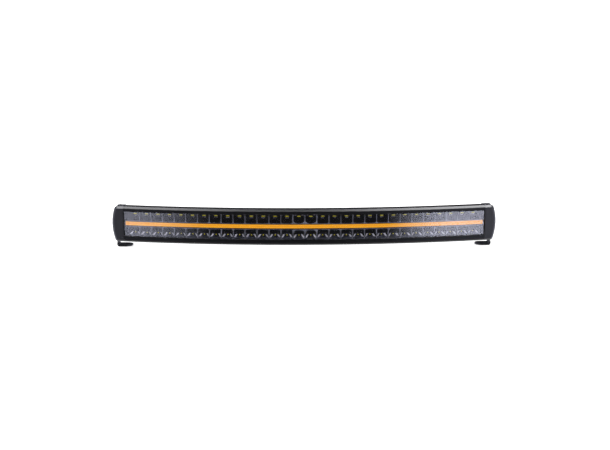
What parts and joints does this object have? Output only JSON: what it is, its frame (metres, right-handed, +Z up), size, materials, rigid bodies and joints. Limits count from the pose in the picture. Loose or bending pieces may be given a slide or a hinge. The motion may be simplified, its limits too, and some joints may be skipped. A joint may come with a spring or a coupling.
{
  "type": "led light bar",
  "caption": "Curved black LED light bar with two rows of reflector lamps, an amber position strip between them, a finned back and tilting end brackets.",
  "frame": {"origin": "on the mounting surface under the middle of the bar, at the bottom centre of the whole object", "axes": "+X along the bar to its right end as seen from the front, -Y out of the lens, +Z up away from the mounting surface"},
  "size_m": [0.8746, 0.1094, 0.0975],
  "materials": {
    "housing": "black anodised extrusion",
    "frame": "satin black powder coat",
    "cap": "satin black paint on a casting",
    "lens": "clear polished polycarbonate",
    "rubber": "moulded silicone rubber",
    "reflector": "dark chrome plated moulding",
    "circuit_board": "black solder mask",
    "gap_pad": "filled silicone pad",
    "guide": "amber moulded acrylic",
    "carrier": "black moulded nylon",
    "gland": "black moulded nylon",
    "bracket": "satin black powder coat on steel",
    "steel": "black zinc plated steel"
  },
  "bodies": {
    "left_bracket": {"bracket_left": "bracket"},
    "bar": {"heat_sink": "housing", "frame_rail_top": "frame", "frame_rail_bottom": "frame", "lens": "lens", "lens_seal": "rubber", "reflector_1": "reflector", "reflector_2": "reflector", "reflector_3": "reflector", "reflector_4": "reflector", "reflector_5": "reflector", "led_board_1": "circuit_board", "led_board_2": "circuit_board", "led_board_3": "circuit_board", "led_board_4": "circuit_board", "led_board_5": "circuit_board", "thermal_pad": "gap_pad", "light_guide": "guide", "light_guide_end_left": "guide", "light_guide_end_right": "guide", "guide_carrier": "carrier", "guide_board_left": "circuit_board", "guide_board_right": "circuit_board", "end_cap_left": "cap", "end_cap_right": "cap", "end_seal_left": "rubber", "end_seal_right": "rubber", "cap_screw_front_top_left": "steel", "cap_screw_front_bottom_left": "steel", "cap_screw_rear_top_left": "steel", "cap_screw_rear_bottom_left": "steel", "cap_screw_front_top_right": "steel", "cap_screw_front_bottom_right": "steel", "cap_screw_rear_top_right": "steel", "cap_screw_rear_bottom_right": "steel", "pivot_bolt_left": "steel", "pivot_bolt_right": "steel", "pivot_washer_left": "steel", "pivot_washer_right": "steel", "spring_washer_left": "steel", "spring_washer_right": "steel", "gland_body": "gland", "gland_seal": "rubber", "gland_nut": "gland", "vent_plug": "gland", "driver_pad": "gap_pad", "driver_board": "circuit_board"},
    "right_bracket": {"bracket_right": "bracket"}
  },
  "joints": [
    {"name": "tilt", "type": "hinge", "parent": "left_bracket", "child": "bar", "pos_m": [-0.4258, 0.0263, 0.05775], "axis": [-1, 0, 0], "range_deg": [-14, 35]},
    {"name": "right_pivot", "type": "hinge", "parent": "bar", "child": "right_bracket", "pos_m": [0.4258, 0.0263, 0.05775], "axis": [-1, 0, 0], "range_deg": [-35, 14]}
  ],
  "couplings": [
    {"joint": "right_pivot", "follows": "tilt", "ratio": -1}
  ]
}
